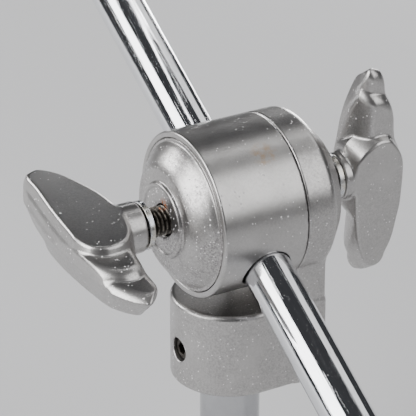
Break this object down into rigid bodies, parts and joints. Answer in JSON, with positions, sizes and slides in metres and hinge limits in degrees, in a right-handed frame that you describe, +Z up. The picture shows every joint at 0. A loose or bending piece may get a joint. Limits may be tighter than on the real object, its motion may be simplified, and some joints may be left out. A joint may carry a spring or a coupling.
{
  "type": "boom stand tilter head",
  "caption": "Cast boom tilter head: a tilting clamp drum on a tube-mounted bracket holds a sliding boom rod, locked by wing screws.",
  "frame": {"origin": "centre of the stand tube's lower end", "axes": "+Z up along the stand tube; the drum's tilt axis runs along X with the tilt wing at +X and the rod wing at -X; the boom rod lies in the YZ plane with its threaded head end at +Y, raised 31 degrees"},
  "size_m": [0.1011, 0.2281, 0.1896],
  "materials": {
    "satin_nickel": "satin nickel plated zinc casting, lightly dusty",
    "mirror_chrome": "mirror chrome plate on steel tube with fine scratches and pits",
    "black_oxide": "black oxide steel thread, worn bright on its crests",
    "zinc_steel": "bright zinc plated steel",
    "brass": "turned brass",
    "nylon": "natural nylon",
    "black_nylon": "black moulded plastic",
    "fibre": "red-brown vulcanised fibre"
  },
  "bodies": {
    "bracket": {"stand_tube": "mirror_chrome", "bracket": "satin_nickel", "set_screw": "black_oxide", "friction_washer": "fibre"},
    "drum": {"clamp_drum": "satin_nickel", "drum_cap": "satin_nickel", "tilt_stud": "black_oxide", "tilt_stud_pin": "zinc_steel"},
    "rod": {"boom_rod": "mirror_chrome", "boom_rod_spigot": "zinc_steel", "boom_rod_cap": "black_nylon"},
    "pad": {"rod_pad": "brass", "rod_pad_liner": "nylon"},
    "rod_screw": {"rod_stud": "black_oxide", "rod_stud_washer": "zinc_steel", "rod_wing": "satin_nickel"},
    "tilt_washers": {"tilt_washer": "zinc_steel", "tilt_spring_washer": "zinc_steel"},
    "tilt_nut": {"tilt_wing": "satin_nickel", "tilt_wing_washer": "zinc_steel"}
  },
  "joints": [
    {"name": "drum_tilt", "type": "hinge", "parent": "bracket", "child": "drum", "pos_m": [0, 0, 0.11], "axis": [1, 0, 0], "range_deg": [-75, 13]},
    {"name": "rod_slide", "type": "slide", "parent": "drum", "child": "rod", "axis": [0, 0.8572, 0.515], "range_m": [-0.095, 0.075]},
    {"name": "rod_pad_travel", "type": "slide", "parent": "drum", "child": "pad", "axis": [1, 0, 0], "range_m": [-0.0032, 0]},
    {"name": "rod_wing_turn", "type": "hinge", "parent": "pad", "child": "rod_screw", "pos_m": [-0.0275, 0, 0.11], "axis": [1, 0, 0], "range_deg": [-900, 0]},
    {"name": "tilt_washer_travel", "type": "slide", "parent": "drum", "child": "tilt_washers", "axis": [1, 0, 0], "range_m": [0, 0.0026]},
    {"name": "tilt_wing_turn", "type": "hinge", "parent": "tilt_washers", "child": "tilt_nut", "pos_m": [0.0315, 0, 0.11], "axis": [1, 0, 0], "range_deg": [0, 720]}
  ],
  "couplings": [
    {"joint": "rod_pad_travel", "follows": "rod_wing_turn", "m_per_rad": 0.00019894},
    {"joint": "tilt_washer_travel", "follows": "tilt_wing_turn", "m_per_rad": 0.00019894}
  ]
}
